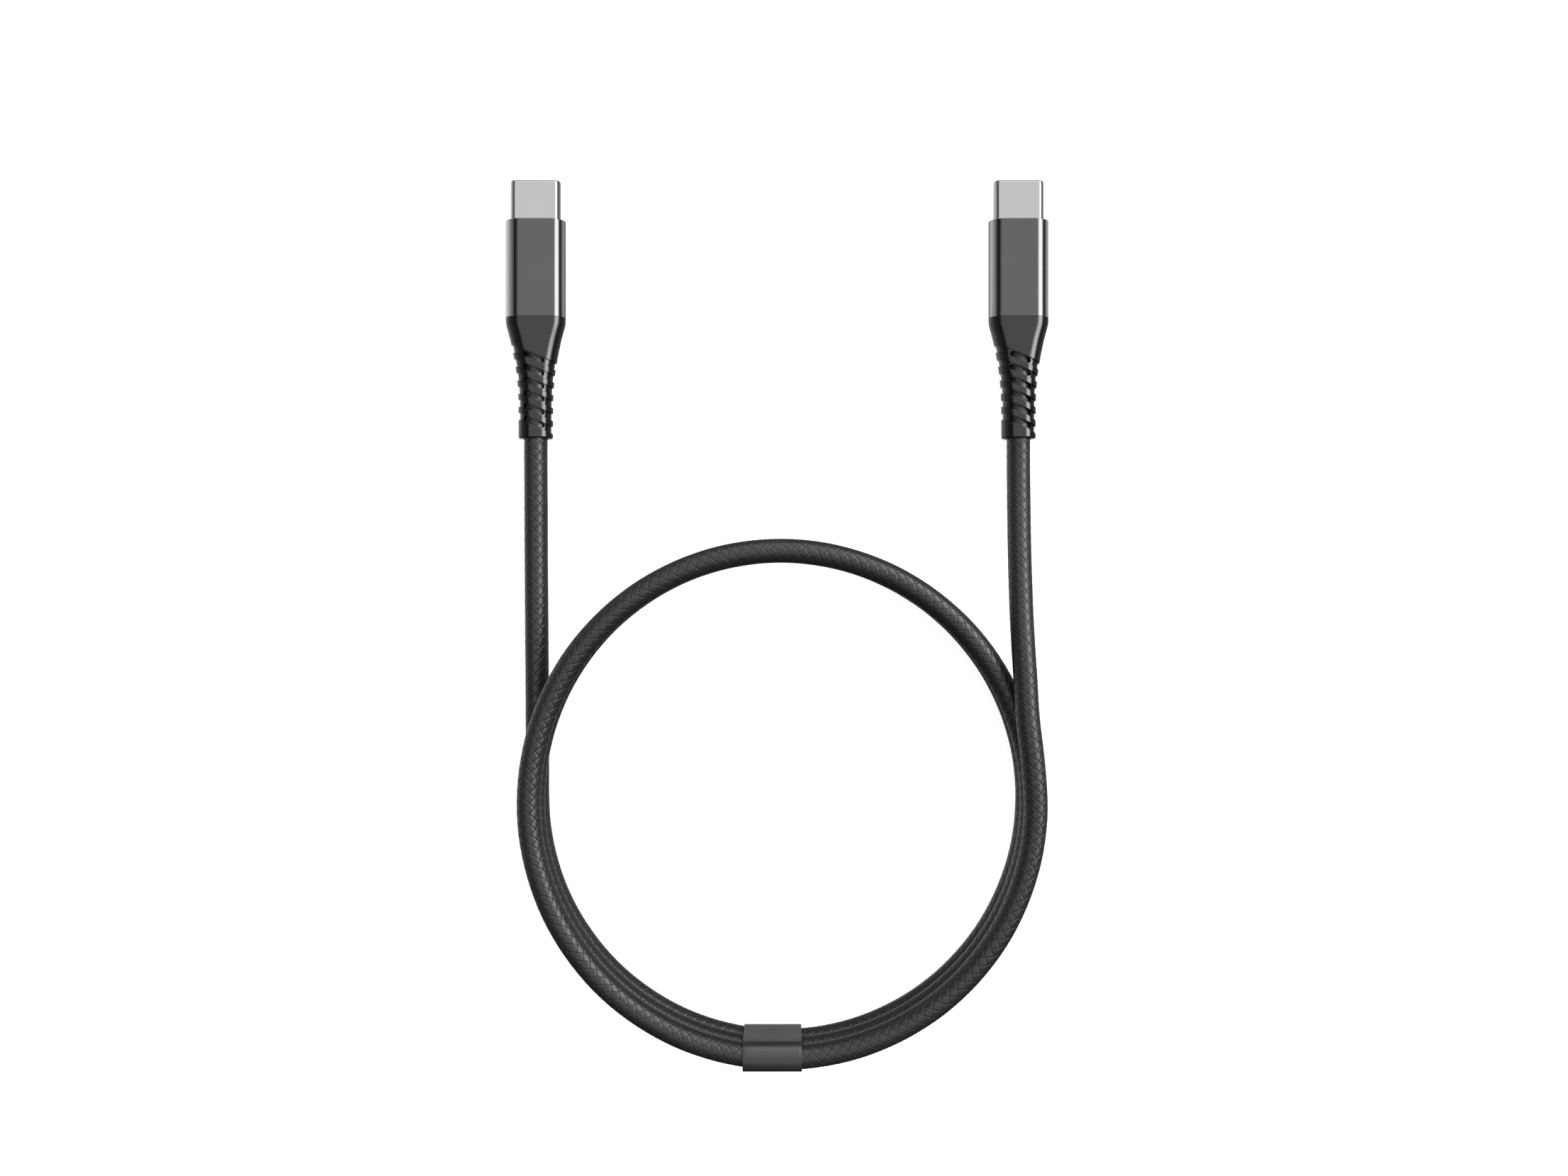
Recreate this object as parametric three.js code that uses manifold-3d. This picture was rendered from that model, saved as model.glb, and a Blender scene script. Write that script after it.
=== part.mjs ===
// Charging cable with a plug at each end, wound into a flat round coil of two
// and a half turns and held by a sleeve band. Millimetres, +Z up.
//
// The cable lies on a flat surface at z = 0. The origin is the bottom centre of
// the box that holds the two plugs, which lie side by side, mouths towards +Y.
// The coil lies towards -Y. Each plug is built in its own frame: the mouth's rim
// is at y = 0, the plug runs back towards -Y, and its axis is at z = 0.
import * as THREE from "three";
import { mergeVertices } from "three/addons/utils/BufferGeometryUtils.js";
import Module from "manifold-3d";

const wasm = await Module();
wasm.setup();

// ---------------------------------------------------------------- dimensions
const PLUG_X = 40.0; // each plug's axis, either side of the middle
const PLUG_LENGTH = 42.65; // rim of the mouth to the tail of the strain relief
const PLUG_HEIGHT = 4.7; // the collar and the strain relief are equally thick
const PLUG_Y = PLUG_LENGTH / 2; // rim of the mouth in the cable's own frame
const PLUG_Z = PLUG_HEIGHT / 2;

const SHELL_W = 8.25; // metal connector shell, outside
const SHELL_H = 2.4;
const SHELL_WALL = 0.3;
const SHELL_LENGTH = 12.0;
const SHELL_PROUD = 6.65; // how far it stands out of the collar

const HOUSING_W = 7.55; // insulator inside the shell's mouth
const HOUSING_H = 1.7;
const HOUSING_FRONT = -0.3;
const HOUSING_BACK = -6.2;
const MOUTH_W = 6.9; // slot for the socket's tongue
const MOUTH_H = 0.84;
const CONTACT_PITCH = 0.5;
const CONTACT_W = 0.25;
const GROOVE_W = 0.34;
const GROOVE_Z = 0.74;
const UPPER_CONTACTS = [1, 4, 5, 6, 7, 9, 12]; // ground, power, cc, data pair, power, ground
const LOWER_CONTACTS = [1, 4, 5, 9, 12];

const PCB_W = 7.0;
const PCB_T = 0.6;
const PCB_FRONT = -10.6;
const PCB_BACK = -17.4;

const COLLAR_W = 9.9;
const COLLAR_FLAT = 4.0; // flat part of the collar's top; the sides are half ellipses
const COLLAR_WALL = 0.5;
const COLLAR_LIP = 0.5; // front wall around the shell
const COLLAR_LENGTH = 16.0;
const COLLAR_FRONT = -SHELL_PROUD;
const COLLAR_BACK = COLLAR_FRONT - COLLAR_LENGTH;

const BOOT_LENGTH = 20.0;
const BOOT_GAP = 0.05;
const BOOT_BORE_R = 2.05;
const BOOT_SIDE = 2.95; // widest that each rounded side of the strain relief gets
const BOOT_FLAT_MIN = 0.15; // half of the flat part where the strain relief is narrowest
// half width of the strain relief at distances behind the collar
const BOOT_PROFILE = [
  [0, 4.95], [1.2, 4.84], [3.65, 4.225], [6.0, 3.725], [8.35, 3.325], [10.7, 3.05], [14.4, 2.86],
  [20.0, 2.825],
];
const SLOT_PITCH = 2.14;
const SLOT_FIRST = 6.72; // first slot's centre behind the collar
const SLOT_COUNT = 6;
const SLOT_W = 0.87;
const SLOT_HALF_X = 1.7;
const SLOT_TILT = -22.5; // degrees about Z
const RING_W = 1.06; // shallow ring that joins a front slot to the one behind it
const RING_DEPTH = 0.27;

const CABLE_R = 1.9; // overall radius of the braided cable
const CABLE_END = -24.6; // where the jacket ends inside the strain relief
const WIRE_R = 0.33;

const COIL_X = 0.855; // centre of the coil
const COIL_Y = -80.59;
const COIL_R = 40.6; // middle of the wound cable
const COIL_LAYERS = 3;
const COIL_LIFT = 0.25; // the band's thickness and clearance hold the coil up
const COIL_TOP = COIL_LIFT + COIL_LAYERS * 2 * CABLE_R;

const BAND_SHIFT = -1.59; // the band's middle along X from the coil's centre, on the -Y side
const BAND_WIDTH = 9.45; // along the cable
const BAND_WALL = 0.17;
const BAND_INNER = 38.1; // inside of its two upright walls, from the coil's centre
const BAND_OUTER = 42.57;
const BAND_ROUND = 1.85; // inside corner radius
const BAND_BOTTOM = 0.17;
const BAND_TOP = 11.75;

const SIN = Math.sin, COS = Math.cos, PI = Math.PI;

// ------------------------------------------------------------------ materials
const mat = (color, roughness, metalness) => new THREE.MeshStandardMaterial({ color, roughness, metalness });
const SATIN_STEEL = mat(0xb9babc, 0.32, 1.0);
const DARK_ALUMINIUM = mat(0x4a4b4e, 0.25, 0.9);
const BLACK_ELASTOMER = mat(0x1c1c1e, 0.45, 0.0);
const BLACK_PLASTIC = mat(0x151516, 0.4, 0.0);
const GOLD = mat(0xd2a85a, 0.3, 1.0);
const SPRING_STEEL = mat(0x9fa1a4, 0.35, 1.0);
const BOARD_GREEN = mat(0x1f5a34, 0.5, 0.0);
const MOULD_WHITE = mat(0xd8d6cf, 0.5, 0.0);
const BRAID = mat(0x303033, 0.8, 0.0);
const BAND_BLACK = mat(0x2a2a2c, 0.5, 0.0);
const WIRE_COLORS = { power: 0xb02020, data_minus: 0xe8e8e4, ground: 0x202020, data_plus: 0x2e8b45, signal: 0x2857a8 };

// -------------------------------------------------------------------- helpers
const root = new THREE.Group();

function add(parent, name, geometry, material) {
  const mesh = new THREE.Mesh(geometry, material);
  mesh.name = name;
  parent.add(mesh);
  return mesh;
}

function bare(geometry) {
  const g = geometry.index ? geometry.toNonIndexed() : geometry.clone();
  g.deleteAttribute("normal");
  g.deleteAttribute("uv");
  return mergeVertices(g, 1e-4);
}

function solid(geometry) {
  const g = bare(geometry);
  return new wasm.Manifold(new wasm.Mesh({
    numProp: 3,
    vertProperties: new Float32Array(g.attributes.position.array),
    triVerts: new Uint32Array(g.index.array),
  }));
}

function fromSolid(manifold) {
  const mesh = manifold.getMesh();
  const g = new THREE.BufferGeometry();
  g.setAttribute("position", new THREE.BufferAttribute(new Float32Array(mesh.vertProperties), 3));
  g.setIndex(new THREE.BufferAttribute(new Uint32Array(mesh.triVerts), 1));
  return g;
}

// closed outline of a rectangle w by h with corners of radius r
function roundedRect(w, h, r, steps = 5) {
  const s = new THREE.Shape();
  const pts = [];
  const cx = w / 2 - r, cy = h / 2 - r;
  for (const [sx, sy, a0] of [[1, 1, 0], [-1, 1, 90], [-1, -1, 180], [1, -1, 270]]) {
    for (let i = 0; i <= steps; i++) {
      const a = ((a0 + (90 * i) / steps) * PI) / 180;
      pts.push(new THREE.Vector2(sx * cx + r * COS(a), sy * cy + r * SIN(a)));
    }
  }
  const clean = pts.filter((p, i) => p.distanceTo(pts[(i + 1) % pts.length]) > 1e-4);
  s.setFromPoints(clean);
  return s;
}

// closed outline of a bar w by h with a flat top and bottom and half-ellipse sides
function ovalRect(w, h, flat, steps = 6) {
  const a = (w - flat) / 2, b = h / 2, pts = [];
  for (const sx of [1, -1]) {
    for (let i = 0; i <= 2 * steps; i++) {
      const t = ((-90 + (90 * i) / steps) * PI) / 180;
      pts.push([sx * (flat / 2 + a * COS(t)), sx * b * SIN(t)]);
    }
  }
  return polygon(pts);
}

// closed solid through rings of [x, y, z] points, with flat ends
function loft(rings) {
  const n = rings[0].length, pos = [], index = [];
  for (const ring of rings) for (const p of ring) pos.push(...p);
  for (let k = 0; k + 1 < rings.length; k++) {
    for (let i = 0; i < n; i++) {
      const j = (i + 1) % n, a = k * n + i, b = k * n + j, c = a + n, d = b + n;
      index.push(a, b, d, a, d, c);
    }
  }
  for (let i = 1; i + 1 < n; i++) {
    index.push(0, i + 1, i);
    const e = (rings.length - 1) * n;
    index.push(e, e + i, e + i + 1);
  }
  const g = new THREE.BufferGeometry();
  g.setAttribute("position", new THREE.BufferAttribute(new Float32Array(pos), 3));
  g.setIndex(index);
  return g;
}

function polygon(points) {
  return new THREE.Shape(points.map(([x, y]) => new THREE.Vector2(x, y)));
}

function circle(r, sides, turn = 0.5) {
  const pts = [];
  for (let i = 0; i < sides; i++) {
    const a = ((i + turn) * 2 * PI) / sides;
    pts.push([r * COS(a), r * SIN(a)]);
  }
  return polygon(pts);
}

// outline in X and Z, drawn back from y = front to y = back
function alongY(shape, front, back) {
  const g = new THREE.ExtrudeGeometry(shape, { depth: front - back, bevelEnabled: false });
  g.rotateX(PI / 2);
  g.translate(0, front, 0);
  return g;
}

// outline in X and Y, drawn up from z = low to z = high
function alongZ(shape, low, high) {
  const g = new THREE.ExtrudeGeometry(shape, { depth: high - low, bevelEnabled: false });
  g.translate(0, 0, low);
  return g;
}

// outline given as [y, z] pairs, drawn along X over a width centred on x
function alongX(points, x, width) {
  const g = new THREE.ExtrudeGeometry(polygon(points), { depth: width, bevelEnabled: false });
  // shape x -> y, shape y -> z, depth -> x
  g.applyMatrix4(new THREE.Matrix4().makeBasis(
    new THREE.Vector3(0, 1, 0), new THREE.Vector3(0, 0, 1), new THREE.Vector3(1, 0, 0)));
  g.translate(x - width / 2, 0, 0);
  return g;
}

function box(x0, x1, y0, y1, z0, z1) {
  const g = new THREE.BoxGeometry(x1 - x0, y1 - y0, z1 - z0);
  g.translate((x0 + x1) / 2, (y0 + y1) / 2, (z0 + z1) / 2);
  return g;
}

// a round bar along points, with flat ends
function bar(points, r, sides, steps) {
  const curve = new THREE.CatmullRomCurve3(points.map((p) => new THREE.Vector3(...p)), false, "centripetal");
  return new THREE.ExtrudeGeometry(circle(r, sides), { steps, extrudePath: curve, bevelEnabled: false });
}

// ------------------------------------------------------------ pieces of a plug
function shellGeometry() {
  const outer = roundedRect(SHELL_W, SHELL_H, SHELL_H / 2, 6);
  const w = SHELL_W - 2 * SHELL_WALL, h = SHELL_H - 2 * SHELL_WALL;
  outer.holes.push(new THREE.Path(roundedRect(w, h, h / 2, 6).getPoints().reverse()));
  return alongY(outer, 0, -SHELL_LENGTH);
}

function contactX(number, lower) {
  return (lower ? -1 : 1) * (number - 6.5) * CONTACT_PITCH;
}

function housingGeometry() {
  const outer = roundedRect(HOUSING_W, HOUSING_H, HOUSING_H / 2, 5);
  // comb-shaped mouth: a flat slot with one groove over and under it per contact
  const top = [];
  for (let n = 1; n <= 12; n++) {
    const x = contactX(n, false), g = GROOVE_W / 2;
    top.push([x - g, MOUTH_H / 2], [x - g, GROOVE_Z], [x + g, GROOVE_Z], [x + g, MOUTH_H / 2]);
  }
  const bottom = top.map(([x, z]) => [-x, -z]);
  const m = MOUTH_W / 2, k = MOUTH_H / 2;
  const mouth = [[-m, -k], [-m, k], ...top, [m, k], [m, -k], ...bottom];
  outer.holes.push(new THREE.Path(mouth.map(([x, y]) => new THREE.Vector2(x, y))));
  return alongY(outer, HOUSING_FRONT, HOUSING_BACK);
}

// side outline of one spring contact, as [y, z] for the upper row
const CONTACT_SIDE = [
  [-1.0, 0.56], [-1.55, 0.42], [-2.0, 0.35], [-2.6, 0.43], [-3.6, 0.5], [-10.0, 0.5], [-10.6, 0.34],
  [-12.0, 0.34], [-12.0, 0.46], [-10.5, 0.46], [-9.9, 0.64], [-3.6, 0.64], [-2.0, 0.5], [-1.0, 0.7],
];

function contactGeometry(number, lower) {
  const side = lower ? CONTACT_SIDE.map(([y, z]) => [y, -z]).reverse() : CONTACT_SIDE;
  return alongX(side, contactX(number, lower), CONTACT_W);
}

function carrierGeometry(lower) {
  const s = lower ? -1 : 1;
  const z0 = Math.min(s * 0.13, s * 0.45), z1 = Math.max(s * 0.13, s * 0.45);
  return box(-3.05, 3.05, -10.2, -6.4, z0, z1);
}

function latchGeometry() {
  // side latches joined by the shield plate between the contact rows
  const right = [
    [3.4, -10.2], [3.4, -1.2], [3.28, -1.2], [3.0, -1.9], [3.0, -2.2], [3.2, -2.9], [3.2, -6.6],
  ];
  const left = right.map(([x, y]) => [-x, y]).reverse();
  return alongZ(polygon([...right, ...left]), -0.075, 0.075);
}

function boardGeometry() {
  return box(-PCB_W / 2, PCB_W / 2, PCB_BACK, PCB_FRONT, -PCB_T / 2, PCB_T / 2);
}

const BUNDLE = {
  power: [[-0.85, 0], -2.4],
  data_minus: [[0, 0.85], -1.2],
  ground: [[0, 0], 0],
  data_plus: [[0, -0.85], 1.2],
  signal: [[0.85, 0], 2.4],
};

function wireGeometry(key) {
  const [[x, z], padX] = BUNDLE[key];
  const points = [
    [x, CABLE_END + 0.1, z], [x, -22.2, z], [x, -20.2, z],
    [(x + padX) / 2, -18.95, z / 2], [padX, -17.9, 0], [padX, PCB_BACK - 0.1, 0],
  ];
  return bar(points, WIRE_R, 6, 7);
}

function mouldGeometry() {
  const w = COLLAR_W - 2 * COLLAR_WALL - 0.2, h = PLUG_HEIGHT - 2 * COLLAR_WALL - 0.2;
  const outer = solid(alongY(ovalRect(w, h, COLLAR_FLAT, 5), -7.35, -20.6));
  const shellSeat = solid(alongY(roundedRect(SHELL_W + 0.1, SHELL_H + 0.1, SHELL_H / 2 + 0.05, 6), -7, -12.2));
  const hollow = solid(box(-3.65, 3.65, -19.4, -12.1, -0.9, 0.9));
  const exit = solid(alongY(circle(1.74, 12), -19.3, -21));
  return fromSolid(outer.subtract(shellSeat).subtract(hollow).subtract(exit));
}

function ferruleGeometry() {
  const profile = [[1.36, -24.4], [1.66, -24.4], [1.66, -20.0], [1.36, -20.0], [1.36, -24.4]];
  return new THREE.LatheGeometry(profile.map(([x, y]) => new THREE.Vector2(x, y)), 12);
}

function collarGeometry() {
  const outer = solid(alongY(ovalRect(COLLAR_W, PLUG_HEIGHT, COLLAR_FLAT, 7), COLLAR_FRONT, COLLAR_BACK));
  const w = COLLAR_W - 2 * COLLAR_WALL, h = PLUG_HEIGHT - 2 * COLLAR_WALL;
  const inside = solid(alongY(ovalRect(w, h, COLLAR_FLAT, 7), COLLAR_FRONT - COLLAR_LIP, COLLAR_BACK - 1));
  const mouth = solid(alongY(roundedRect(SHELL_W + 0.1, SHELL_H + 0.1, SHELL_H / 2 + 0.05, 6), COLLAR_FRONT + 1, COLLAR_FRONT - 1));
  return fromSolid(outer.subtract(inside).subtract(mouth));
}

// the strain relief's outer form, shrunk by `inset`, from y = start to y = end
function bootForm(inset, start, end) {
  const width = (d) => {
    for (let i = 1; i < BOOT_PROFILE.length; i++) {
      const [d0, w0] = BOOT_PROFILE[i - 1], [d1, w1] = BOOT_PROFILE[i];
      if (d <= d1 || i === BOOT_PROFILE.length - 1) {
        return w0 + ((w1 - w0) * (Math.min(d, d1) - d0)) / (d1 - d0);
      }
    }
  };
  const stops = [start, ...BOOT_PROFILE.map(([d]) => COLLAR_BACK - d).filter((y) => y < start && y > end), end];
  return loft(stops.map((y) => {
    const half = width(Math.max(0, COLLAR_BACK - y));
    const flat = Math.max(half - BOOT_SIDE, BOOT_FLAT_MIN), a = half - flat - inset, b = PLUG_HEIGHT / 2 - inset;
    const ring = [];
    for (const sx of [1, -1]) {
      for (let i = 0; i <= 10; i++) {
        const t = ((-90 + (90 * i) / 5) * PI) / 180;
        ring.push([sx * (flat + a * COS(t)), y, sx * b * SIN(t)]);
      }
    }
    return ring;
  }));
}

function bootGeometry() {
  const start = COLLAR_BACK - BOOT_GAP, end = COLLAR_BACK - BOOT_LENGTH;
  let body = solid(bootForm(0, start, end));
  const core = solid(bootForm(RING_DEPTH, start + 1, end - 1));
  let grooves = null, slots = null;
  for (let i = 0; i < SLOT_COUNT; i++) {
    const y = COLLAR_BACK - SLOT_FIRST - i * SLOT_PITCH;
    const turn = (SLOT_TILT * PI) / 180;
    const slab = new THREE.BoxGeometry(16, RING_W, 8);
    slab.rotateZ(turn);
    slab.translate(0, y, 0);
    const length = (2 * SLOT_HALF_X) / COS(turn);
    const slot = alongZ(roundedRect(length, SLOT_W, SLOT_W / 2, 2), -4, 4);
    slot.rotateZ(turn);
    slot.translate(0, y, 0);
    grooves = grooves ? grooves.add(solid(slab)) : solid(slab);
    slots = slots ? slots.add(solid(slot)) : solid(slot);
  }
  body = body.subtract(grooves.subtract(core)).subtract(slots);
  // spigot that the collar grips, then the bores for the ferrule and the cable
  const w = COLLAR_W - 2 * COLLAR_WALL - 0.2, h = PLUG_HEIGHT - 2 * COLLAR_WALL - 0.2;
  const spigot = solid(alongY(ovalRect(w, h, COLLAR_FLAT, 5), -20.9, start - 0.5));
  body = body.add(spigot);
  const bore = solid(alongY(circle(BOOT_BORE_R, 12, 0), -24.45, end - 1));
  const neck = solid(alongY(circle(1.74, 12), -20, -25));
  return fromSolid(body.subtract(bore).subtract(neck));
}

function buildPlug(side, x) {
  const plug = new THREE.Group();
  plug.position.set(x, PLUG_Y, PLUG_Z);
  add(plug, `${side}_connector_shell`, shellGeometry(), SATIN_STEEL);
  add(plug, `${side}_front_housing`, housingGeometry(), BLACK_PLASTIC);
  for (const n of UPPER_CONTACTS) add(plug, `${side}_contact_a${n}`, contactGeometry(n, false), GOLD);
  for (const n of LOWER_CONTACTS) add(plug, `${side}_contact_b${n}`, contactGeometry(n, true), GOLD);
  add(plug, `${side}_contact_carrier_upper`, carrierGeometry(false), BLACK_PLASTIC);
  add(plug, `${side}_contact_carrier_lower`, carrierGeometry(true), BLACK_PLASTIC);
  add(plug, `${side}_latch_plate`, latchGeometry(), SPRING_STEEL);
  add(plug, `${side}_circuit_board`, boardGeometry(), BOARD_GREEN);
  for (const key of Object.keys(BUNDLE)) {
    add(plug, `${side}_${key}_wire`, wireGeometry(key), mat(WIRE_COLORS[key], 0.5, 0));
  }
  add(plug, `${side}_inner_mould`, mouldGeometry(), MOULD_WHITE);
  add(plug, `${side}_crimp_ferrule`, ferruleGeometry(), SPRING_STEEL);
  add(plug, `${side}_collar`, collarGeometry(), DARK_ALUMINIUM);
  add(plug, `${side}_strain_relief`, bootGeometry(), BLACK_ELASTOMER);
  root.add(plug);
}

buildPlug("left", -PLUG_X);
buildPlug("right", PLUG_X);

// ------------------------------------------------------------------- the cable
const INSIDE_Y = PLUG_Y + CABLE_END;
const TAIL_Y = PLUG_Y - PLUG_LENGTH;

// from inside the left strain relief down to the coil's lowest layer
add(root, "left_lead", bar([
  [-PLUG_X, INSIDE_Y, PLUG_Z], [-PLUG_X, -12, PLUG_Z], [-PLUG_X, TAIL_Y, PLUG_Z], [-39.98, -32, 2.27],
  [-39.93, -46, 2.18], [-39.85, -58, 2.15], [-39.82, -63.3, 2.15],
], CABLE_R, 8, 12), BRAID);

// from the coil's top layer, over the edge, down and up into the right strain relief
add(root, "right_lead", bar([
  [39.95, -59.6, 9.0], [39.66, -55, 8.5], [39.56, -49.5, 7.5], [39.56, -44.5, 6.45], [39.65, -39, 5.15],
  [39.79, -33.8, 3.95], [39.91, -28.8, 2.92], [39.98, -24.6, 2.42], [PLUG_X, TAIL_Y, PLUG_Z],
  [PLUG_X, -12, PLUG_Z], [PLUG_X, INSIDE_Y, PLUG_Z],
], CABLE_R, 8, 18), BRAID);

// outer shape of the wound turns
{
  const r = CABLE_R, z0 = COIL_LIFT, z1 = COIL_TOP, k = r * 0.293;
  const p = [
    [-r, z0 + r], [-r + k, z0 + k], [0, z0], [r - k, z0 + k], [r, z0 + r],
    [r, z1 - r], [r - k, z1 - k], [0, z1], [-r + k, z1 - k], [-r, z1 - r], [-r, z0 + r],
  ];
  const g = new THREE.LatheGeometry(p.map(([x, z]) => new THREE.Vector2(COIL_R + x, z)), 60);
  g.rotateX(PI / 2);
  g.translate(COIL_X, COIL_Y, 0);
  add(root, "wound_cable", g, BRAID);
}

// ------------------------------------------------------------------- the band
{
  const half = (BAND_OUTER - BAND_INNER) / 2, mid = (BAND_OUTER + BAND_INNER) / 2;
  const midZ = (BAND_BOTTOM + BAND_TOP) / 2, tall = BAND_TOP - BAND_BOTTOM;
  const outer = roundedRect(2 * (half + BAND_WALL), tall + 2 * BAND_BOTTOM, BAND_ROUND + BAND_WALL, 7);
  outer.holes.push(new THREE.Path(roundedRect(2 * half, tall, BAND_ROUND, 7).getPoints().reverse()));
  // outline in X and Z, drawn along Y, centred; then turned so that X points to -Y
  const g = alongY(outer, BAND_WIDTH / 2, -BAND_WIDTH / 2);
  g.translate(mid, BAND_SHIFT, midZ);
  const band = add(root, "cable_band", g, BAND_BLACK);
  band.position.set(COIL_X, COIL_Y, 0);
  band.rotation.z = -PI / 2;
}

export default root;
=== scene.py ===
"""Looks of the charging cable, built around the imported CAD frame. Lengths in mm until a mesh is made."""

import math

import bmesh
import bpy
import numpy as np
from mathutils import Matrix, Vector


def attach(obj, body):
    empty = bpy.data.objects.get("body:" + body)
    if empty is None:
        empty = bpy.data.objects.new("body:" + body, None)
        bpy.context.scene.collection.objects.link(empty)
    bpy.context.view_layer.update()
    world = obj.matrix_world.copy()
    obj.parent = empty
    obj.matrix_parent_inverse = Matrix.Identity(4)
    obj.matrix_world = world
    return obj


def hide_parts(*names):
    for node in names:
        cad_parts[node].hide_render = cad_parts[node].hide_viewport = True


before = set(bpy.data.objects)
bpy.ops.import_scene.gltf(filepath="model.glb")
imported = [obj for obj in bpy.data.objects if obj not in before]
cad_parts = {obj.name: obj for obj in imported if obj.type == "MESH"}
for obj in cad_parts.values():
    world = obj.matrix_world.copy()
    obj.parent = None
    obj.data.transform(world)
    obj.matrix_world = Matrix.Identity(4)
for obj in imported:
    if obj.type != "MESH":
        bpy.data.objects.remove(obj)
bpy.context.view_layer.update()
scene = bpy.context.scene
MM = 0.001

# ------------------------------------------------------------------ dimensions
PLUG_X = 40.0
PLUG_Y = 21.325
PLUG_Z = 2.35

SHELL_FLAT = 3.12  # half width of the shell's flat
SHELL_SIDE = 1.005  # the shell's rounded sides, across and up
SHELL_R = 1.2
SHELL_WALL = 0.3
SHELL_RIM = 0.36
SHELL_LENGTH = 12.0

SIDE = 2.95  # widest half-ellipse side of collar and strain relief
HALF_H = 2.35
FLAT_MIN = 0.15
COLLAR_HALF_W = 4.95
COLLAR_FRONT = -6.65
COLLAR_BACK = -22.65
COLLAR_WALL = 0.5
COLLAR_LIP = 0.5

BOOT_FRONT = COLLAR_BACK - 0.01
BOOT_BACK = -42.65
# full width of the strain relief at distances behind the collar
BOOT_WIDTH = (
    (0.0, 9.9), (0.7, 9.87), (1.3, 9.70), (2.5, 9.07), (3.65, 8.45), (4.8, 7.95), (6.0, 7.45),
    (7.2, 7.03), (8.35, 6.65), (9.5, 6.33), (10.7, 6.10), (13.0, 5.79), (15.4, 5.70), (20.0, 5.65),
)
BORE_R = 2.05
NECK_R = 1.74
SLOT_FIRST = 6.72
SLOT_PITCH = 2.14
SLOT_COUNT = 6
SLOT_W = 0.87
SLOT_HALF_X = 1.7
SLOT_TILT = math.radians(22.5)
RING_W = 1.06
RING_DEPTH = 0.27

CABLE_R = 1.9
COIL_C = (0.855, -80.59)
COIL_R = 40.6
COIL_LIFT = 0.25

BAND_IN = 38.1
BAND_OUT = 42.57
BAND_WALL = 0.17
BAND_LOW = 0.17
BAND_HIGH = 11.75
BAND_ROUND = 1.85
BAND_WIDTH = 9.45
BAND_X = COIL_C[0] - 1.59


# ---------------------------------------------------------------------- camera
cam_data = bpy.data.cameras.new("camera")
cam_data.sensor_width = 36.0
cam_data.lens = 30.47
cam_data.clip_start = 0.01
cam_data.clip_end = 10.0
cam_data.dof.use_dof = False
camera = bpy.data.objects.new("camera", cam_data)
scene.collection.objects.link(camera)
camera.location = (0.00113, -0.04603, 0.22235)
camera.rotation_euler = (0.0, 0.0, 0.0)
scene.camera = camera
scene.view_settings.view_transform = "Standard"
scene.view_settings.look = "None"
scene.view_settings.exposure = 0.0
scene.view_settings.gamma = 1.0


# --------------------------------------------------------------- mesh helpers
def mesh_object(name, verts, faces, body, replaces=(), smooth=True, sharp=36.0, shift=(0.0, 0.0, 0.0)):
    """verts in mm; faces may be mixed. Edges steeper than `sharp` degrees shade sharp."""
    me = bpy.data.meshes.new(name)
    co = (np.asarray(verts, float) + np.asarray(shift, float)) * MM
    me.from_pydata(co.tolist(), [], [list(map(int, f)) for f in faces])
    me.update()
    obj = bpy.data.objects.new(name, me)
    scene.collection.objects.link(obj)
    finish_shading(obj, smooth, sharp)
    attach(obj, body)
    if replaces:
        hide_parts(*replaces)
    return obj


def finish_shading(obj, smooth=True, sharp=36.0):
    me = obj.data
    me.polygons.foreach_set("use_smooth", [smooth] * len(me.polygons))
    if smooth and sharp is not None:
        bm = bmesh.new()
        bm.from_mesh(me)
        limit = math.radians(sharp)
        for e in bm.edges:
            if len(e.link_faces) == 2:
                e.smooth = e.calc_face_angle(0.0) < limit
        bm.to_mesh(me)
        bm.free()
    me.update()


def tube_faces(rings, n, closed=True):
    """Quads between successive rings of n points; the last ring joins the first when closed."""
    faces = []
    for k in range(rings if closed else rings - 1):
        a, b = k * n, ((k + 1) % rings) * n
        for i in range(n):
            j = (i + 1) % n
            faces.append((a + i, a + j, b + j, b + i))
    return faces


def outward(verts, faces):
    """Turns the faces round if the closed form they bound comes out inside out."""
    v = np.asarray(verts, float)
    vol = 0.0
    for f in faces:
        for k in range(1, len(f) - 1):
            vol += np.dot(v[f[0]], np.cross(v[f[k]], v[f[k + 1]]))
    return [tuple(reversed(f)) for f in faces] if vol < 0 else faces


def oval_ring(flat, a, b, nc=16, nf=6):
    """Points (x, z) round a section with a flat top and bottom and half-ellipse sides."""
    pts = []
    for i in range(2 * nc):
        t = math.radians(-90 + 90.0 * i / nc)
        pts.append((flat + a * math.cos(t), b * math.sin(t)))
    for i in range(nf):
        pts.append((flat - 2 * flat * i / nf, b))
    for i in range(2 * nc):
        t = math.radians(90 - 90.0 * i / nc)
        pts.append((-flat - a * math.cos(t), b * math.sin(t)))
    for i in range(nf):
        pts.append((-flat + 2 * flat * i / nf, -b))
    return pts


def circle_ring(r, nc=16, nf=6):
    ref = oval_ring(0.35, 0.65, 1.0, nc, nf)
    out = []
    for x, z in ref:
        t = math.atan2(z, x)
        out.append((r * math.cos(t), r * math.sin(t)))
    return out


def along_y(rings):
    """rings: list of (y, [(x, z)...]) -> vertices"""
    return [(x, y, z) for y, ring in rings for x, z in ring]


def smoothstep(t):
    t = min(1.0, max(0.0, t))
    return t * t * (3 - 2 * t)


# ------------------------------------------------------------- the cable's path
def smooth5(t):
    t = min(1.0, max(0.0, t))
    return t * t * t * (t * (6 * t - 15) + 10)


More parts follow.
